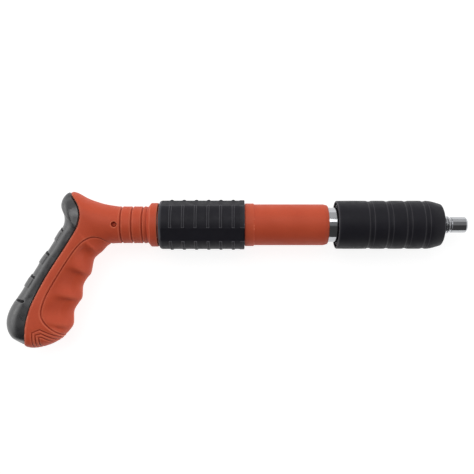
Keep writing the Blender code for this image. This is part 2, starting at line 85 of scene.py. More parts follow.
# Places along the barrel, radii and depths. The neck's grooves are its three rings.
NECK_R = 15.4
COLLAR_FROM = -71.0
COLLAR_TAPER = 2.3
COLLAR_GROOVE_DEPTH = 0.35
NECK_GROOVES = (-77.8, -86.5, -95.5)
NECK_GROOVE_DEPTH = 0.95
NECK_GROOVE_LIP = 0.12

# The mid sleeve, with its ribs and the angles of its flat bands, and the front housing.
MID_R = 20.35
MID_LIP_R = MID_R + 0.3
RIB_PITCH = 10.25
RIB_FIRST = -54.0
RIB_COUNT = 6
BAND_ANGLES = (-25, 65, 155, 245)
BAND_HALF = 16.5
HOUSING_R = 17.15
HOUSING_BORE = 15.9
MID_BORE = HOUSING_R + 0.3
LIP_INSIDE = 73.9
RING_FROM = 7.0
RING_TO = 14.1

# The front sleeve, hollow at its rear, with a room for the lock nut inside.
SLEEVE_HOLLOW_R = 18.4
SLEEVE_HOLLOW_TO = 106.0
SLEEVE_GROOVES = (110.3, 125.4, 140.6, 155.5)
SLEEVE_GROOVE_DEPTH = 0.45
SLEEVE_CROWN = 0.12
SLEEVE_TAPER_FROM = 158.8
SLEEVE_NOSE_R = 17.5
SLEEVE_BORE = BARREL_R + 0.3
NUT_ROOM_REAR = 153.4
NUT_ROOM_FRONT = 161.2
NUT_ROOM_R = 12.0

# The nose bush, the nozzle from its stem to its tip, and the drive pin.
NOSE_BUSH_WALL = 2.3
NOZZLE_STEM_R = 6.0
NOZZLE_STEM_TO = 154.0
NOZZLE_THREAD_R = 6.6
NOZZLE_THREAD_TO = 160.5
NOZZLE_GROOVES = (173.9, 175.6)
NOZZLE_GROOVE_DEPTH = 0.45
NOZZLE_COLLAR_TO = 177.3
NOZZLE_NECK_R = 6.1
NOZZLE_NECK_TO = 179.2
NOZZLE_TIP_R = 6.65
NOZZLE_BORE = 4.1
PIN_R = 3.4
PIN_TAIL_R = 2.6
PIN_TAIL_TO = -28.0

# The handle's stations, from the neck to the butt: back edge, front edge and half thickness.
HANDLE_STATIONS = (
    ((-98.7, 15.5), (-98.7, -15.4), 15.45),
    ((-110.9, 17.6), (-104.4, -15.9), 16.0),
    ((-123.5, 21.8), (-107.4, -17.4), 16.6),
    ((-134.2, 27.3), (-109.5, -19.2), 16.8),
    ((-140.8, 26.9), (-111.0, -20.8), 16.8),
    ((-145.3, 22.3), (-112.2, -22.0), 16.8),
    ((-146.7, 15.8), (-113.2, -22.9), 16.8),
    ((-144.2, 8.5), (-114.2, -23.7), 16.8),
    ((-144.4, 0.9), (-116.8, -25.8), 16.7),
    ((-149.6, -8.1), (-119.8, -29.6), 16.5),
    ((-156.0, -18.6), (-122.1, -40.4), 16.2),
    ((-163.1, -28.5), (-125.4, -44.8), 16.0),
    ((-169.1, -38.4), (-128.8, -51.2), 16.0),
    ((-174.8, -46.8), (-129.6, -61.0), 16.2),
    ((-180.5, -56.4), (-132.5, -65.6), 16.8),
    ((-186.5, -64.8), (-136.3, -72.4), 17.6),
    ((-191.0, -73.7), (-136.8, -82.8), 18.4),
    ((-192.4, -82.5), (-139.7, -88.4), 18.8),
    ((-189.9, -90.9), (-146.1, -94.9), 18.2),
    ((-183.9, -97.0), (-153.3, -99.1), 15.5),
    ((-176.1, -101.0), (-159.9, -101.4), 10.5),
    ((-171.7, BUTT_Y), (-164.3, BUTT_Y), 5.5),
)

# The finger ridges' places among the stations, and their width there. The hollows fade in over the first
# two shares of the way from the back edge to the front edge, and out over the last two.
RIDGES = (7, 10.1, 13.1, 16.1)
RIDGE_WIDTH = 0.6
HOLLOW_DEPTH = 2.9
HOLLOW_REACH = (0.52, 0.8, 0.84, 1.0)

# The edge between the rubber strap and the shells, seen from the side.
STRAP_EDGE = (
    (-139.5, 30.5), (-137.0, 26.0), (-134.7, 23.5), (-132.7, 21.0), (-131.2, 18.5), (-129.7, 16.1),
    (-128.3, 11.4), (-127.8, 6.5), (-128.7, 1.4), (-130.3, -3.1), (-138.8, -16.8), (-148.6, -31.4),
    (-159.1, -48.6), (-167.3, -65.6), (-171.3, -80.2), (-172.2, -90.0), (-172.7, -95.5),
    (-174.2, -99.3), (-176.5, -101.6), (-180.0, -105.0),
)

# The moulded line round the finger side of the grip, and the outer chevron at the butt.
PANEL_LINE = (
    (-104.0, -16.5), (-107.6, -14.2), (-112.0, -11.6), (-117.0, -10.6), (-121.6, -11.6), (-127.0, -15.2),
    (-133.5, -22.5), (-141.0, -33.5), (-148.5, -45.5), (-154.5, -56.0), (-158.3, -66.0), (-159.2, -73.5),
    (-156.8, -79.5), (-150.5, -86.5), (-141.5, -93.5),
)
PANEL_STEP = 0.45
BEYOND_FINGERS = ((-120.0, -110.0), (-80.0, -80.0), (-90.0, -17.0))
CHEVRON = ((-166.3, -104.0), (-166.1, -88.2), (-159.8, -85.6), (-143.0, -94.6))
CHEVRONS = 3
CHEVRON_STEP = 2.7
CHEVRON_SHIFTS = ((1, 0), (1, -0.7), (0.35, -1.25), (-0.4, -1.2))

# Moulded lines as depth and half width.
PANEL_GROOVE = (0.75, 0.5)
CHEVRON_GROOVE = (0.7, 0.48)
BORDER_GROOVE = (0.5, 0.75)
PARTING_GROOVE = (0.35, 0.4)

# The recess over the cross pin, and the screw holes as x, y and radius.
PIN_HOLE = (-100.3, 0.0)
PIN_HOLE_R = 2.0
PIN_HOLE_DEPTH = 3.2
SCREW_HOLES = ((-122.0, -5.0, 3.3), (-143.0, -46.0, 3.3), (-156.0, -84.0, 3.3))

# The strap: its slots and pads along the back, and how it dips towards the shells.
STRAP_SLOTS = 4
STRAP_SLOT_Y = -2.9
STRAP_SLOT_PITCH = 23.2
STRAP_SLOT_DEPTH = 3.2
STRAP_SLOT_HALF = 1.0
STRAP_SLOT_REACH = 10.5
STRAP_LAST_REACH = 13.5
STRAP_PAD_LENGTH = 10.0
STRAP_PAD_HEIGHT = 0.75
STRAP_CLEAR = 0.05
STRAP_RIM_DEPTH = 0.8
STRAP_DIP_SLOPE = 0.18
STRAP_DIP_WIDTH = 8.0
STRAP_DIP_MORE = 5.0
STRAP_TUCK = 1.0
STRAP_REACH = 125

# How the handle's skins are made: wall, gap between the shells, and the spacing of their grids.
WALL = 1.8
PARTING_GAP = 0.05
SECTION_SPACING = 0.45
SHELL_COLUMNS = 130
STRAP_COLUMNS = 190

# How bright the room is on each side, where the brightest part of a lit white sheet is 1.
PALE_WALL = 0.4
CEILING = 0.25
DARK_WALL = 0.07
LEFT_WALL = 1.7
RIGHT_WALL = 1.1

# The softbox in watts and metres, the floor's glow, and the camera's height over the barrel axis in metres.
SOFTBOX_POWER = 4.5
SOFTBOX_PLACE = (-0.2, 0.52, 1.0)
SOFTBOX_SIZE = (1.0, 0.6)
FLOOR_GLOW = 0.86
CAMERA_HEIGHT = 0.52
CAMERA_LENS = 47.0

# ---------------------------------------------------------------- curves and meshes


def smooth_line(points, steps):
    """Points along a smooth curve through the given rows, with a number of steps between each two."""
    rows = np.array(points, float)
    rows = np.vstack((rows[:1], rows, rows[-1:]))
    share = np.arange(steps)[:, None] / steps
    pieces = []
    for a, b, c, d in zip(rows, rows[1:], rows[2:], rows[3:]):
        into, out = (c - a) / 2, (d - b) / 2
        bend = 3 * (c - b) - 2 * into - out
        twist = 2 * (b - c) + into + out
        pieces.append(b + share * (into + share * (bend + share * twist)))
    return np.vstack((*pieces, rows[-1:]))


def even_line(points, spacing, steps=40):
    """The smooth curve through the rows, cut at about even spacing of its fastest moving edge."""
    dense = smooth_line(points, steps)
    moves = np.diff(dense, axis=0)
    length = np.maximum(np.hypot(moves[:, 0], moves[:, 1]), np.hypot(moves[:, 2], moves[:, 3]))
    travelled = np.concatenate(((0.0,), np.cumsum(length)))
    count = int(travelled[-1] / spacing)
    places = np.interp(np.linspace(0, travelled[-1], count + 1), travelled, np.arange(len(dense)))
    rows = np.stack([np.interp(places, np.arange(len(dense)), column) for column in dense.T], axis=1)
    return rows, places / steps


def ramp(value, start, end):
    """0 before start, 1 after end, and smooth between them."""
    share = np.clip((value - start) / (end - start), 0.0, 1.0)
    return share * share * (3 - 2 * share)


def groove(distance, size):
    """How deep a round-bottomed groove of a depth and half width is, at a distance from its middle."""
    depth, half = size
    return depth * np.exp(-(distance / half) ** 2)


def line_distance(places, line):
    """How far each flat place is from a line of points."""
    flat = places.reshape(-1, 2)
    nearest = np.full(len(flat), 1e9)
    for start, end in zip(line, line[1:]):
        along = end - start
        share = np.clip(((flat - start) @ along) / (along @ along), 0.0, 1.0)
        gap = flat - start - share[:, None] * along
        nearest = np.minimum(nearest, np.hypot(gap[:, 0], gap[:, 1]))
    return nearest.reshape(places.shape[:-1])


def grid_mesh(name, points, around=False, along=False, kept=None):
    """A mesh over a grid of points in millimetres, joined up round its columns or rows if asked.

    kept marks the points that are wanted: only faces with one of them are made.
    """
    rows, columns = points.shape[:2]
    index = np.arange(rows * columns).reshape(rows, columns)
    if along:
        index = np.vstack((index, index[:1]))
    if around:
        index = np.hstack((index, index[:, :1]))
    corners = (index[:-1, :-1], index[1:, :-1], index[1:, 1:], index[:-1, 1:])
    faces = np.stack(corners, axis=-1).reshape(-1, 4)
    if kept is not None:
        faces = faces[kept.reshape(-1)[faces].any(axis=1)]
    mesh = bpy.data.meshes.new(name)
    mesh.from_pydata((points.reshape(-1, 3) * MM + AXIS).tolist(), [], faces.tolist())
    mesh.validate()
    made = bpy.data.objects.new(name, mesh)
    bpy.context.scene.collection.objects.link(made)
    return made


def soften(piece, angle=32):
    piece.data.shade_smooth()
    piece.data.set_sharp_from_angle(angle=math.radians(angle))


def settle(piece):
    """Turns the piece's modifiers into its mesh."""
    ready = piece.evaluated_get(bpy.context.evaluated_depsgraph_get())
    mesh = bpy.data.meshes.new_from_object(ready)
    piece.modifiers.clear()
    piece.data = mesh


def snapped(points, field):
    """The grid with each point just outside the field's zero line moved onto that line.

    The field is negative inside. Points move along the grid's edges and diagonals.
    """
    moved = points.copy()
    best = np.full(field.shape, np.inf)
    rows, columns = field.shape
    for row_step in (-1, 0, 1):
        for column_step in (-1, 0, 1):
            here = tuple(slice(max(-step, 0), size - max(step, 0)) for step, size in
                         ((row_step, rows), (column_step, columns)))
            there = tuple(slice(max(step, 0), size - max(-step, 0)) for step, size in
                          ((row_step, rows), (column_step, columns)))
            outside, inside = field[here], field[there]
            crossing = (outside > 0) & (inside <= 0)
            share = np.where(crossing, outside / np.where(crossing, outside - inside, 1.0), 0.0)
            target = points[here] + share[..., None] * (points[there] - points[here])
            length = np.linalg.norm(target - points[here], axis=-1)
            closer = crossing & (length < best[here])
            moved[here] = np.where(closer[..., None], target, moved[here])
            best[here] = np.where(closer, length, best[here])
    return moved


def walled(name, points, field):
    """A moulded skin over the part of a grid where the field is negative, as thick as the handle's walls."""
    skin = grid_mesh(name, snapped(points, field), kept=field <= 0)
    bare = bmesh.new()
    bare.from_mesh(skin.data)
    bmesh.ops.remove_doubles(bare, verts=bare.verts, dist=0.01 * MM)
    bmesh.ops.delete(bare, geom=[vertex for vertex in bare.verts if not vertex.link_faces], context="VERTS")
    bare.to_mesh(skin.data)
    bare.free()
    wall = skin.modifiers.new("wall", "SOLIDIFY")
    wall.thickness = WALL * MM
    wall.offset = -1.0
    settle(skin)
    soften(skin, 50)
    return skin


def rounded(corners, steps=5):
    """The closed outline through (x, radius, fillet) corners, each turned into a round of its fillet."""
    points = []
    for index, (x, radius, fillet) in enumerate(corners):
        here = np.array((x, radius))
        if not fillet:
            points.append(here)
            continue
        before = np.array(corners[index - 1][:2]) - here
        after = np.array(corners[(index + 1) % len(corners)][:2]) - here
        sizes = np.linalg.norm(before), np.linalg.norm(after)
        half = math.acos(np.clip(before @ after / (sizes[0] * sizes[1]), -1.0, 1.0)) / 2
        room = [size * (0.5 if corners[(index + step) % len(corners)][2] else 1.0)
                for size, step in zip(sizes, (-1, 1))]
        reach = min(fillet / math.tan(half), 0.98 * min(room))
        start, end = here + before / sizes[0] * reach, here + after / sizes[1] * reach
        for share in np.linspace(0.0, 1.0, steps + 1):
            points.append((1 - share) ** 2 * start + 2 * share * (1 - share) * here + share ** 2 * end)
    return np.array(points)


def turned_points(outline, around, shape=None):
    """A grid of points round the barrel axis for an outline of (x, radius) rows.

    shape, if given, changes the radii: it takes the positions, radii and angles from straight up.
    """
    angles = np.linspace(0.0, math.tau, around, endpoint=False)
    x = np.repeat(outline[:, :1], around, axis=1)
    radius = np.repeat(outline[:, 1:], around, axis=1)
    angle = np.repeat(angles[None, :], len(outline), axis=0)
    if shape is not None:
        radius = shape(x, radius, angle)
    return np.stack((x, radius * np.sin(angle), radius * np.cos(angle)), axis=-1)


def turned(name, outline, around=160, shape=None):
    """A ring or tube turned about the barrel axis from its closed section."""
    made = grid_mesh(name, turned_points(np.array(outline), around, shape), around=True, along=True)
    soften(made)
    return made


def dress(piece, body, slot, *nodes):
    """Gives a piece its body and its material slot's finish, and hides the CAD nodes it stands for."""
    piece.data.materials.clear()
    piece.data.materials.append(MATERIALS[slot])
    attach(piece, body)
    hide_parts(*nodes)
    return piece


# ---------------------------------------------------------------- materials


class Surface:
    """A procedural material in the making: a Principled shader and the nodes that feed it."""

    def __init__(self, name, roughness, metallic=0.0):
        self.material = bpy.data.materials.new(name)
        self.material.use_nodes = True
        self.nodes = self.material.node_tree.nodes
        self.links = self.material.node_tree.links
        self.shader = self.nodes["Principled BSDF"]
        self.shader.inputs["Roughness"].default_value = roughness
        self.shader.inputs["Metallic"].default_value = metallic
        self.place = self.nodes.new("ShaderNodeTexCoord").outputs["Object"]

    def stretched(self, scale):
        """The place scaled by its own amount along each axis."""
        mapping = self.nodes.new("ShaderNodeMapping")
        mapping.inputs["Scale"].default_value = scale
        self.links.new(self.place, mapping.inputs["Vector"])
        return mapping.outputs["Vector"]

    def noise(self, scale, detail=3.0, place=None):
        node = self.nodes.new("ShaderNodeTexNoise")
        node.inputs["Scale"].default_value = scale
        node.inputs["Detail"].default_value = detail
        self.links.new(place or self.place, node.inputs["Vector"])
        return node.outputs["Fac"]

    def spread(self, value, low, high, start=0.3, end=0.7):
        """Maps a value from start..end to low..high."""
        node = self.nodes.new("ShaderNodeMapRange")
        node.inputs["From Min"].default_value = start
        node.inputs["From Max"].default_value = end
        node.inputs["To Min"].default_value = low
        node.inputs["To Max"].default_value = high
        self.links.new(value, node.inputs["Value"])
        return node.outputs["Result"]

    def mixed(self, share, first, second):
        """A colour between two colours, each a tuple or an output."""
        node = self.nodes.new("ShaderNodeMix")
        node.data_type = "RGBA"
        self.links.new(share, node.inputs["Factor"])
        for socket, colour in (("A", first), ("B", second)):
            target = [i for i in node.inputs if i.name == socket and i.type == "RGBA"][0]
            if isinstance(colour, tuple):
                target.default_value = (*colour, 1.0)
            else:
                self.links.new(colour, target)
        return [o for o in node.outputs if o.type == "RGBA"][0]

    def edges(self, low=0.5, high=0.56):
        """Rises along the outer edges of the shape."""
        return self.spread(self.nodes.new("ShaderNodeNewGeometry").outputs["Pointiness"], 0.0, 1.0, low, high)

    def creases(self, low=0.4, high=0.48):
        """Rises into the bottoms of grooves and inner corners."""
        return self.spread(self.nodes.new("ShaderNodeNewGeometry").outputs["Pointiness"], 1.0, 0.0, low, high)

    def bump(self, height, strength, depth_mm, before=None):
        node = self.nodes.new("ShaderNodeBump")
        node.inputs["Strength"].default_value = strength
        node.inputs["Distance"].default_value = depth_mm * MM
        self.links.new(height, node.inputs["Height"])
        if before is not None:
            self.links.new(before, node.inputs["Normal"])
        return node.outputs["Normal"]

    def feed(self, socket, value):
        self.links.new(value, self.shader.inputs[socket])


def orange_plastic():
    """Satin moulded plastic: fine spark texture, faint cloudy colour, paler edges that are partly wear and
    partly a painted highlight, and painted shade in grooves and inner corners.
    """
    surface = Surface("orange_plastic", 0.5)
    surface.shader.inputs["Specular IOR Level"].default_value = 0.22
    clouds = surface.spread(surface.noise(55.0, 4.0), 0.0, 1.0)
    colour = surface.mixed(clouds, (0.54, 0.075, 0.031), (0.59, 0.087, 0.037))
    specks = surface.spread(surface.noise(1500.0, 2.0), 0.0, 0.35, 0.45, 0.75)
    colour = surface.mixed(specks, colour, (0.43, 0.07, 0.03))
    # Paler colour along sharp edges: partly wear, partly a painted highlight where the edges catch the light.
    colour = surface.mixed(surface.edges(0.505, 0.57), colour, (0.76, 0.22, 0.12))
    # Dark colour in grooves and inner corners: painted shade.
    colour = surface.mixed(surface.creases(0.45, 0.492), colour, (0.2, 0.018, 0.009))
    surface.feed("Base Color", colour)
    surface.feed("Roughness", surface.spread(surface.noise(160.0, 4.0), 0.46, 0.6))
    grain = surface.bump(surface.noise(2600.0, 2.0), 0.25, 0.05)
    surface.feed("Normal", surface.bump(surface.noise(90.0, 2.0), 0.05, 0.2, grain))
    return surface.material


def rubber(name, colour, worn_and_highlit_edge, roughness, grain_scale, gloss=0.2):
    """Matte moulded rubber: grain, a dusty bloom in patches and paler edges that are partly rubbed wear and
    partly a painted highlight.
    """
    surface = Surface(name, roughness)
    bloom = surface.spread(surface.noise(70.0, 5.0), 0.0, 0.5)
    mixed = surface.mixed(bloom, colour, tuple(1.5 * part for part in colour))
    # Paler colour along sharp edges, such as the ribs' edges: partly rubbed wear, partly a painted highlight.
    mixed = surface.mixed(surface.edges(0.505, 0.57), mixed, worn_and_highlit_edge)
    surface.feed("Base Color", mixed)
    surface.feed("Specular IOR Level", surface.spread(surface.creases(), gloss, 0.0, 0.0, 1.0))
    surface.feed("Roughness", surface.spread(surface.noise(220.0, 4.0), roughness - 0.07, roughness + 0.09))
    surface.feed("Normal", surface.bump(surface.noise(grain_scale, 3.0), 0.35, 0.08))
    return surface.material


def metal(name, colour, roughness, lines, streak=0.12):
    """Turned metal: fine rings round the barrel axis, uneven polish and faint staining."""
    surface = Surface(name, roughness, 1.0)
    rings = surface.noise(1.0, 2.0, surface.stretched((lines, 25.0, 25.0)))
    smears = surface.spread(surface.noise(120.0, 4.0), 0.0, streak)
    dull = tuple(0.72 * part for part in colour)
    surface.feed("Base Color", surface.mixed(smears, colour, dull))
    surface.feed("Roughness", surface.spread(rings, roughness * 0.75, roughness * 1.35))
    surface.feed("Normal", surface.bump(rings, 0.08, 0.03))
    return surface.material


MATERIALS = {
    "orange_plastic": orange_plastic(),
    "strap_rubber": rubber(
        "strap_rubber", (0.013, 0.013, 0.015), (0.05, 0.05, 0.052), 0.31, 1400.0, gloss=1.0),
    # The sleeve's pale edge colour is mostly a painted highlight along the ribs' edges.
    "sleeve_rubber": rubber(
        "sleeve_rubber", (0.0112, 0.0107, 0.0148), (0.15, 0.145, 0.16), 0.5, 1800.0, gloss=0.18),
    "chrome": metal("chrome", (0.50, 0.51, 0.53), 0.1, 3000.0),
    "steel": metal("steel", (0.50, 0.50, 0.52), 0.32, 2200.0, 0.4),
    "spring_steel": metal("spring_steel", (0.36, 0.36, 0.38), 0.3, 900.0, 0.5),
    "black_steel": metal("black_steel", (0.045, 0.035, 0.033), 0.45, 2200.0, 0.4),
    "buffer_rubber": rubber("buffer_rubber", (0.03, 0.03, 0.03), (0.07, 0.07, 0.07), 0.6, 1200.0),
    "brass": metal("brass", (0.72, 0.50, 0.18), 0.25, 2000.0, 0.4),
}


def dress_cad_nodes():
    """The CAD nodes that stay get the finished materials."""
    for part in frame["record"]["subparts"]:
        node = frame["nodes"][part["node"]]
        node.data.materials.clear()
        node.data.materials.append(MATERIALS[part["material_slot"]])


# ---------------------------------------------------------------- handle


def neck_rows():
    """The neck's round sections, from its collar back to where the grip begins, with its ring grooves."""
    x = np.arange(NECK_END, HANDLE_STATIONS[0][0][0], -0.25)
    radius = np.full(len(x), NECK_R)
    for place in NECK_GROOVES:
        away = np.abs(x - place)
        radius -= NECK_GROOVE_DEPTH * (1 - ramp(away, 0.15, 1.15))
        radius += groove(away - 1.6, (NECK_GROOVE_LIP, 0.6))
    radius += (COLLAR_R - NECK_R) * ramp(x, COLLAR_FROM - COLLAR_TAPER - 0.4, COLLAR_FROM + 0.3)
    radius -= COLLAR_GROOVE_DEPTH * (1 - ramp(np.abs(x - COLLAR_FROM + COLLAR_TAPER + 0.9), 0.1, 1.0))
    radius -= 0.4 * ramp(x, NECK_END - 0.6, NECK_END)
    return np.stack((x, radius, x, -radius, radius), axis=1)


def handle_rows():
    """All the handle's sections as back x, y, front x, y and half thickness, and each one's station.

    The neck counts as station -1, and the sections that close the butt as the last station.
    """
    flat = [(*back, *front, half) for back, front, half in HANDLE_STATIONS]
    rows, stations = even_line(flat, SECTION_SPACING)
    neck = neck_rows()
    last = rows[-1]
    middle = (last[:2] + last[2:4]) / 2
    centre = np.array((*middle, *middle, 0.0))
    closing = np.linspace(0.0, 0.97, 9)[1:, None]
    end = last + closing * (centre - last)
    whole = np.vstack((neck, rows, end))
    return whole, np.concatenate((np.full(len(neck), -1.0), stations, np.full(len(end), stations[-1])))


def past_strap(points):
    """How far each place lies past the strap's edge, towards the front of the handle."""
    edge = smooth_line(STRAP_EDGE, 6)
    return points[..., 0] - np.interp(-points[..., 1], -edge[:, 1], edge[:, 0])


def section_points(rows, angles):
    """Points of each section at its own row of angles: 0 at the back edge, pi at the front edge."""
    back, front = rows[:, None, 0:2], rows[:, None, 2:4]
    share = (1 - np.cos(angles[..., None])) / 2
    flat = back + (front - back) * share
    return np.concatenate((flat, (rows[:, None, 4] * np.sin(angles))[..., None]), axis=-1)


def outward(rows, angles):
    """The unit normals of the plain sections at a grid of angles, away from the handle's inside."""
    along = section_points(np.gradient(rows, axis=0), angles)
    turn = np.sin(angles)[..., None] / 2
    flat = (rows[:, None, 2:4] - rows[:, None, 0:2]) * turn
    across = np.concatenate((flat, (rows[:, None, 4] * np.cos(angles))[..., None]), axis=-1)
    normal = np.cross(along, across)
    return normal / np.maximum(np.linalg.norm(normal, axis=-1, keepdims=True), 1e-9)


def finger_hollows(points, rows, stations):
    """Depth of the scooped hollows between the finger ridges, deepest a little in from the front edge."""
    span_flat = rows[:, None, 2:4] - rows[:, None, 0:2]
    length = np.linalg.norm(span_flat, axis=-1)
    share = np.einsum("rcx,rcx->rc", points[..., :2] - rows[:, None, 0:2], span_flat) / length ** 2
    crest = np.zeros(len(rows))
    for place in RIDGES:
        crest = np.maximum(crest, groove(stations - place, (1.0, RIDGE_WIDTH)))
    ends = ramp(stations, RIDGES[0] - 0.5, RIDGES[0] + 2.0)
    ends *= 1 - ramp(stations, RIDGES[-1], RIDGES[-1] + 2.5)
    reach = ramp(share, *HOLLOW_REACH[:2]) * (1 - ramp(share, *HOLLOW_REACH[2:]))
    return HOLLOW_DEPTH * ((1 - crest) * ends)[:, None] * reach


def inside_panel(flat, line):
    """Which of the flat places lie on the finger side of the panel line."""
    closed = np.vstack((line, BEYOND_FINGERS))
    inside = np.zeros(flat.shape[:-1], bool)
    x, y = flat[..., 0], flat[..., 1]
    for (x1, y1), (x2, y2) in zip(closed, np.roll(closed, -1, axis=0)):
        if y1 == y2:
            continue
        crosses = ((y1 > y) != (y2 > y)) & (x < (x2 - x1) * (y - y1) / (y2 - y1) + x1)
        inside ^= crosses
    return inside


def shell_relief(points, rows, stations):
    """How far each place on a shell sinks below the plain form: lines, panel, hollows and the pin's hole."""
    flat = points[..., :2]
    panel = smooth_line(PANEL_LINE, 6)
    distance = line_distance(flat, panel)
    signed = np.where(inside_panel(flat, panel), distance, -distance)
    sink = PANEL_STEP * ramp(signed, -0.5, 0.5) * (1 - ramp(signed, 2.0, 12.0) * 0.6)
    sink += groove(distance, PANEL_GROOVE)
    sink += finger_hollows(points, rows, stations) * ramp(signed, 0.0, 5.0)
    for number in range(CHEVRONS):
        chevron = np.array(CHEVRON) + CHEVRON_STEP * number * np.array(CHEVRON_SHIFTS)
        sink += groove(line_distance(flat, chevron), CHEVRON_GROOVE)
    sink += groove(line_distance(flat, smooth_line(STRAP_EDGE, 6)), BORDER_GROOVE)
    sink += groove(points[..., 2], PARTING_GROOVE)
    pin = np.hypot(flat[..., 0] - PIN_HOLE[0], flat[..., 1] - PIN_HOLE[1])
    return sink + PIN_HOLE_DEPTH * (1 - ramp(pin, PIN_HOLE_R, PIN_HOLE_R + 0.5))


def handle_shell(name, side, node, holes):
    """One orange shell, from the strap's edge round to the parting line at the front.

    holes are the round holes through it, as (x, y, radius) seen from the side.
    """
    rows, stations = handle_rows()
    angles = np.repeat(np.linspace(0.0, math.pi, SHELL_COLUMNS)[None, :], len(rows), axis=0)
    plain = section_points(rows, angles)
    points = plain - outward(rows, angles) * shell_relief(plain, rows, stations)[..., None]
    points[..., 2] = np.maximum(points[..., 2], PARTING_GAP) * side
    outside = -past_strap(plain)
    for x, y, radius in holes:
        outside = np.maximum(outside, radius - np.hypot(plain[..., 0] - x, plain[..., 1] - y))
    shell = walled(name, points[:, ::side], outside[:, ::side])
    return dress(shell, "grip_body", "orange_plastic", node)


def strap_relief(points, rows):
    """How far each place on the strap sinks: low by the shells, with slots and raised pads along its back.

    The dip by the shells is widest at the horn and at the butt. Each slot is a pair of pits, one on each
    side of the middle.
    """
    flat = points[..., :2]
    border = line_distance(flat, smooth_line(STRAP_EDGE, 6))
    side = np.abs(points[..., 2])
    ends = ramp(flat[..., 1], -8.0, 6.0) + ramp(-flat[..., 1], 50.0, 80.0)
    width = STRAP_DIP_WIDTH + STRAP_DIP_MORE * ends
    sink = STRAP_CLEAR + STRAP_RIM_DEPTH * (1 - ramp(border, 0.8, 2.0))
    sink += STRAP_DIP_SLOPE * width * (1 - ramp(border / width, 0.0, 1.0)) * ramp(side, 1.0, 9.0)
    back = rows[:, 0:2]
    travelled = np.concatenate(((0.0,), np.cumsum(np.hypot(*np.diff(back, axis=0).T))))
    first = travelled[np.argmax(back[:, 1] < STRAP_SLOT_Y)]
    for number in range(STRAP_SLOTS):
        reach = STRAP_LAST_REACH if number == STRAP_SLOTS - 1 else STRAP_SLOT_REACH
        middle = 1 - ramp(side, reach - 0.7, reach + 0.7)
        place = (travelled - first - number * STRAP_SLOT_PITCH)[:, None]
        pit = groove(place, (STRAP_SLOT_DEPTH, STRAP_SLOT_HALF))
        sink += pit * middle * ramp(side, 0.8, 2.0)
        if number < STRAP_SLOTS - 1:
            pad = ramp(place, -1.3, -0.8) * (1 - ramp(place, STRAP_PAD_LENGTH, STRAP_PAD_LENGTH + 0.8))
            sink -= STRAP_PAD_HEIGHT * pad * middle
    return sink


def back_strap():
    """The rubber strap, tucked under the shells' edge on one side, round the back to the other side."""
    rows, _stations = handle_rows()
    widest = math.radians(STRAP_REACH)
    angles = np.repeat(np.linspace(-widest, widest, STRAP_COLUMNS)[None, :], len(rows), axis=0)
    plain = section_points(rows, angles)
    points = plain - outward(rows, angles) * strap_relief(plain, rows)[..., None]
    strap = walled("back_strap_rubber", points, past_strap(plain) - STRAP_TUCK)
    return dress(strap, "grip_body", "strap_rubber", "back_strap")


# ---------------------------------------------------------------- barrel


def mid_sleeve_shape(x, radius, angle):
    """Six ribs round the sleeve, broken by four flat bands along it."""
    outside = radius > MID_R - 0.1
    turn = np.degrees(angle)
    flat = np.zeros(x.shape, bool)
    cut = np.full(x.shape, 1e9)
    for middle in BAND_ANGLES:
        away = (turn - middle + 180) % 360 - 180
        inside = np.abs(away) < BAND_HALF
        flat |= inside
        chord = MID_R * math.cos(math.radians(BAND_HALF)) / np.cos(np.radians(away))
        cut = np.where(inside, chord, cut)
    raised = np.zeros(x.shape)
    for number in range(RIB_COUNT):
        away = np.abs(x - (RIB_FIRST + RIB_PITCH * number))
        raised += (RIB_R - MID_R) * (1 - ramp(away, 0.8, 1.6))
    raised *= outside & ~flat
    return np.where(outside, np.minimum(radius, cut), radius) + raised


def mid_grip_sleeve():
    """The rubber sleeve for the second hand, with a round rear edge and a thin lip at the front."""
    x = np.arange(MID_REAR + 3.2, MID_FRONT - 4.4, 0.25)
    rear = rounded([(MID_REAR, MID_BORE, 0), (MID_REAR, MID_R, 2.8), (MID_REAR + 6.4, MID_R, 0)])[:-1]
    body = np.stack((x, np.full(len(x), MID_R)), axis=1)
    front = rounded([
        (MID_FRONT - 4.2, MID_R, 0), (MID_FRONT - 3.7, MID_LIP_R, 0.3), (MID_FRONT, MID_LIP_R, 0.5),
        (MID_FRONT, MID_BORE, 0),
    ])
    sleeve = turned("mid_grip_rubber", np.vstack((rear, body, front)), 360, mid_sleeve_shape)
    return dress(sleeve, "grip_body", "sleeve_rubber", "mid_grip_sleeve")


def front_housing():
    """The orange tube, with its raised ring and the lip that holds the front bush."""
    outline = rounded([
        (HOUSING_REAR, HOUSING_BORE, 0), (HOUSING_REAR, HOUSING_R, 0.3), (RING_FROM, HOUSING_R, 0.2),
        (RING_FROM, RING_R, 0.6), (RING_TO, RING_R, 0.3), (RING_TO + 0.5, HOUSING_R, 0.3),
        (LIP_INSIDE - 1.5, HOUSING_R, 2.0), (HOUSING_FRONT - 0.3, HOUSING_R - 0.9, 2.0),
        (HOUSING_FRONT, BARREL_R + 0.3, 0.2), (LIP_INSIDE, BARREL_R + 0.3, 0), (LIP_INSIDE, HOUSING_BORE, 0),
    ], 8)
    return dress(turned("front_housing_tube", outline, 200), "grip_body", "orange_plastic", "front_housing")


def barrel_tube():
    bore = span("nose_bush")[2] - NOSE_BUSH_WALL
    outline = rounded([
        (BARREL_REAR, bore, 0.3), (BARREL_REAR, BARREL_R, 0.5), (BARREL_FRONT, BARREL_R, 0.5),
        (BARREL_FRONT, bore, 0.3),
    ])
    return dress(turned("chromed_barrel", outline, 200), "front_assembly", "chrome", "barrel_tube")


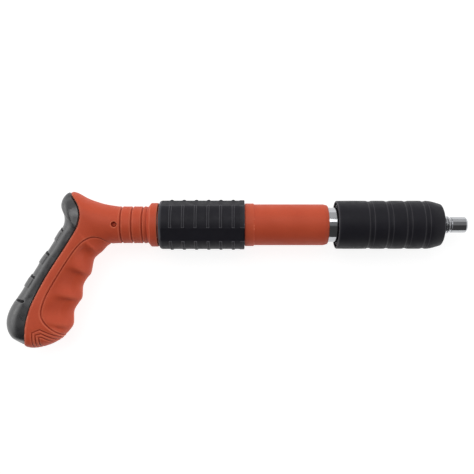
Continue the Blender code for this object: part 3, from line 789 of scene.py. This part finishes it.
def sleeve_radius(x):
    """Outer radius of the front sleeve: shallow broad grooves, crowned between, rounding to the nose."""
    radius = np.full(len(x), SLEEVE_R)
    stops = (SLEEVE_REAR, *SLEEVE_GROOVES, SLEEVE_FRONT)
    for start, end in zip(stops, stops[1:]):
        within = np.clip((x - start) / (end - start), 0, 1)
        radius += SLEEVE_CROWN * (np.sin(math.pi * within) - 1) * ((x >= start) & (x < end))
    for place in SLEEVE_GROOVES:
        radius -= SLEEVE_GROOVE_DEPTH * (1 - ramp(np.abs(x - place), 1.0, 2.2))
    taper = np.clip((x - SLEEVE_TAPER_FROM) / (SLEEVE_FRONT - SLEEVE_TAPER_FROM), 0, 1)
    return radius - (SLEEVE_R - SLEEVE_NOSE_R) * taper ** 1.35


def front_sleeve():
    """The long rubber sleeve: open over the housing at the rear, with a room for the lock nut in front."""
    x = np.arange(SLEEVE_REAR + 2.0, SLEEVE_FRONT - 1.0, 0.35)
    outer = np.stack((x, sleeve_radius(x)), axis=1)
    rear = rounded([
        (SLEEVE_REAR, SLEEVE_HOLLOW_R, 0.3), (SLEEVE_REAR, SLEEVE_R - 0.1, 1.7), (x[0] + 2.4, SLEEVE_R, 0),
    ])
    nozzle_hole = NOZZLE_R + 0.3
    front = rounded([
        (*outer[-1], 0), (SLEEVE_FRONT, SLEEVE_NOSE_R - 0.1, 1.0), (SLEEVE_FRONT, nozzle_hole, 0.3),
        (NUT_ROOM_FRONT, nozzle_hole, 0), (NUT_ROOM_FRONT, NUT_ROOM_R, 0), (NUT_ROOM_REAR, NUT_ROOM_R, 0),
        (NUT_ROOM_REAR, SLEEVE_BORE, 0), (SLEEVE_HOLLOW_TO, SLEEVE_BORE, 0),
        (SLEEVE_HOLLOW_TO, SLEEVE_HOLLOW_R, 0), (*rear[0], 0),
    ])[1:-1]
    outline = np.vstack((rear[:-1], outer, front))
    sleeve = turned("front_sleeve_rubber", outline, 240)
    return dress(sleeve, "front_assembly", "sleeve_rubber", "front_sleeve")


def fine_groove(place):
    """The corners of a narrow round-bottomed groove in the nozzle's collar, as wide as twice its depth."""
    depth = NOZZLE_GROOVE_DEPTH
    return (place - depth, NOZZLE_R, 0.1), (place, NOZZLE_R - depth, 0.2), (place + depth, NOZZLE_R, 0.1)


def nozzle():
    """The nozzle: a collar at the sleeve, a narrow neck and the chamfered tip, with the nail's bore."""
    outline = rounded([
        (NOZZLE_REAR, NOZZLE_BORE, 0.2), (NOZZLE_REAR, NOZZLE_STEM_R, 0.2),
        (NOZZLE_STEM_TO, NOZZLE_STEM_R, 0.2), (NOZZLE_STEM_TO, NOZZLE_THREAD_R, 0.2),
        (NOZZLE_THREAD_TO, NOZZLE_THREAD_R, 0.2), (NOZZLE_THREAD_TO, NOZZLE_R, 0.3),
        *fine_groove(NOZZLE_GROOVES[0]), *fine_groove(NOZZLE_GROOVES[1]),
        (NOZZLE_COLLAR_TO, NOZZLE_R, 0.5), (NOZZLE_COLLAR_TO + 0.2, NOZZLE_NECK_R, 0.3),
        (NOZZLE_NECK_TO, NOZZLE_NECK_R, 0.3), (NOZZLE_NECK_TO + 0.4, NOZZLE_TIP_R, 0.3),
        (NOZZLE_END - 1.1, NOZZLE_TIP_R, 0.9), (NOZZLE_END, NOZZLE_TIP_R - 1.1, 0.35),
        (NOZZLE_END, NOZZLE_BORE + 0.5, 0.2), (NOZZLE_END - 0.5, NOZZLE_BORE, 0.2),
    ])
    return dress(turned("chromed_nozzle", outline, 128), "front_assembly", "chrome", "nozzle")


def sleeve_liner():
    low = HOUSING_R + 0.35
    outline = rounded([
        (LINER_REAR, low, 0.15), (LINER_REAR, LINER_R, 0.2), (LINER_FRONT, LINER_R, 0.1),
        (LINER_FRONT, low, 0.1),
    ])
    return dress(turned("front_sleeve_liner", outline, 160), "front_assembly", "steel", "sleeve_liner")


def drive_pin():
    """The rod that drives the nail, its tip seen down the nozzle's bore."""
    rear, front, _radius = span("drive_pin")
    outline = rounded([
        (rear, 0.02, 0), (rear, PIN_TAIL_R, 0.3), (PIN_TAIL_TO, PIN_TAIL_R, 0.2),
        (PIN_TAIL_TO + 0.8, PIN_R, 0.3), (front, PIN_R, 0.6), (front, 0.02, 0),
    ])
    return dress(turned("drive_pin_rod", outline, 64), "drive_pin_set", "steel", "drive_pin")


def coil(name, node, radius, wire, turns, body):
    """A coil spring with closed ends, laid along its CAD node's span."""
    start, end, _outer = span(node)
    steps, sides = 28, 10
    count = turns * steps + 1
    share = np.linspace(0.0, 1.0, count)
    closed = 1.0 / turns
    climb = 0.06 * ramp(share, 0.0, closed) + 0.88 * np.clip((share - closed) / (1 - 2 * closed), 0, 1)
    climb += 0.06 * ramp(share, 1 - closed, 1.0)
    x = start + wire / 2 + (end - start - wire) * climb
    angle = math.tau * turns * share
    centre = np.stack((x, radius * np.cos(angle), radius * np.sin(angle)), axis=1)
    radial = np.stack((0 * x, np.cos(angle), np.sin(angle)), axis=1)
    forward = np.gradient(centre, axis=0)
    forward /= np.linalg.norm(forward, axis=1, keepdims=True)
    beside = np.cross(forward, radial)
    round_wire = np.linspace(0, math.tau, sides, endpoint=False)[None, :, None]
    ring = np.cos(round_wire) * radial[:, None] + np.sin(round_wire) * beside[:, None]
    points = centre[:, None] + ring * wire / 2
    caps = [np.broadcast_to(middle, (1, sides, 3)) for middle in (centre[0], centre[-1])]
    made = grid_mesh(name, np.vstack((caps[0], points, caps[1])), around=True)
    soften(made, 60)
    dress(made, body, "spring_steel", node)
    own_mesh(made)


def springs():
    coil("main_spring_coil", "main_spring", 7.6, 1.8, 5, "grip_body")
    coil("return_spring_coil", "return_spring", 13.3, 1.6, 7, "grip_body")
    coil("pin_spring_coil", "pin_spring", 9.5, 1.2, 6, "front_assembly")


# ---------------------------------------------------------------- stage, light and camera


def floor():
    """A pale floor that glows a little, so that it looks white."""
    bpy.ops.mesh.primitive_plane_add(size=6.0, location=(0, 0, -0.0003))
    made = bpy.context.object
    made.name = "floor"
    surface = Surface("pale_floor", 0.9)
    tone = surface.spread(surface.noise(3.0, 2.0), 0.0, 1.0)
    surface.feed("Base Color", surface.mixed(tone, (0.30, 0.30, 0.30), (0.32, 0.32, 0.32)))
    surface.shader.inputs["Emission Color"].default_value = (1.0, 1.0, 1.0, 1.0)
    surface.shader.inputs["Emission Strength"].default_value = FLOOR_GLOW
    made.data.materials.append(surface.material)


def area_light(name, place, size, power):
    """A soft rectangular light aimed at the object's middle."""
    data = bpy.data.lights.new(name, "AREA")
    data.shape = "RECTANGLE"
    data.size, data.size_y = size
    data.energy = power
    made = bpy.data.objects.new(name, data)
    made.location = place
    aim = Vector((0, AXIS[1], AXIS[2])) - Vector(place)
    made.rotation_euler = aim.to_track_quat("-Z", "Y").to_euler()
    bpy.context.scene.collection.objects.link(made)


class Room:
    """The nodes of the room's light: value nodes chained by name."""

    def __init__(self):
        world = bpy.data.worlds.new("studio")
        world.use_nodes = True
        bpy.context.scene.world = world
        self.nodes, self.links = world.node_tree.nodes, world.node_tree.links
        self.background = self.nodes["Background"]
        self.background.inputs["Color"].default_value = (1.0, 1.0, 1.0, 1.0)
        split = self.nodes.new("ShaderNodeSeparateXYZ")
        self.links.new(self.nodes.new("ShaderNodeTexCoord").outputs["Generated"], split.inputs["Vector"])
        self.direction = split.outputs

    def math(self, operation, *values):
        node = self.nodes.new("ShaderNodeMath")
        node.operation = operation
        for socket, value in zip(node.inputs, values):
            if isinstance(value, (int, float)):
                socket.default_value = value
            else:
                self.links.new(value, socket)
        return node.outputs["Value"]

    def mapped(self, value, start, end, low, high):
        node = self.nodes.new("ShaderNodeMapRange")
        node.interpolation_type = "SMOOTHSTEP"
        for name, number in (("From Min", start), ("From Max", end), ("To Min", low), ("To Max", high)):
            node.inputs[name].default_value = number
        self.links.new(value, node.inputs["Value"])
        return node.outputs["Result"]


def studio():
    """A room that is pale towards +Y and the tool's two ends and dark towards -Y, with a softbox overhead.

    The left wall dims towards -Y. The walls light the tool but look white themselves, like the floor.
    """
    room = Room()
    x, y, z = (room.direction[axis] for axis in "XYZ")
    tilt = room.math("ARCTAN2", y, z)
    wall = room.mapped(tilt, math.radians(38), math.radians(50), 0.0, PALE_WALL)
    ceiling = room.mapped(tilt, math.radians(-12), math.radians(-3), DARK_WALL, CEILING)
    left = room.mapped(x, -0.62, -0.92, 0.0, LEFT_WALL)
    left = room.math("MULTIPLY", left, room.mapped(y, -0.5, 0.1, 0.3, 1.0))
    right = room.mapped(x, 0.5, 0.85, 0.0, RIGHT_WALL)
    brightness = room.math("ADD", room.math("ADD", wall, ceiling), room.math("ADD", left, right))
    seen = room.nodes.new("ShaderNodeLightPath").outputs["Is Camera Ray"]
    room.links.new(room.math("MAXIMUM", brightness, seen), room.background.inputs["Strength"])
    area_light("key_softbox", SOFTBOX_PLACE, SOFTBOX_SIZE, SOFTBOX_POWER)
    bpy.context.scene.view_settings.view_transform = "Standard"


def camera():
    """Straight down on the tool's side, from 520 mm above the barrel axis."""
    data = bpy.data.cameras.new("camera")
    data.lens = CAMERA_LENS
    data.sensor_width = 36.0
    made = bpy.data.objects.new("camera", data)
    made.location = (0.00038, AXIS[1] - 0.01025, AXIS[2] + CAMERA_HEIGHT)
    bpy.context.scene.collection.objects.link(made)
    bpy.context.scene.camera = made


camera()
floor()
studio()
dress_cad_nodes()
handle_shell("grip_shell_upper", 1, "handle_shell_upper", ())
handle_shell("grip_shell_lower", -1, "handle_shell_lower", SCREW_HOLES)
back_strap()
mid_grip_sleeve()
front_housing()
barrel_tube()
front_sleeve()
nozzle()
sleeve_liner()
drive_pin()
springs()
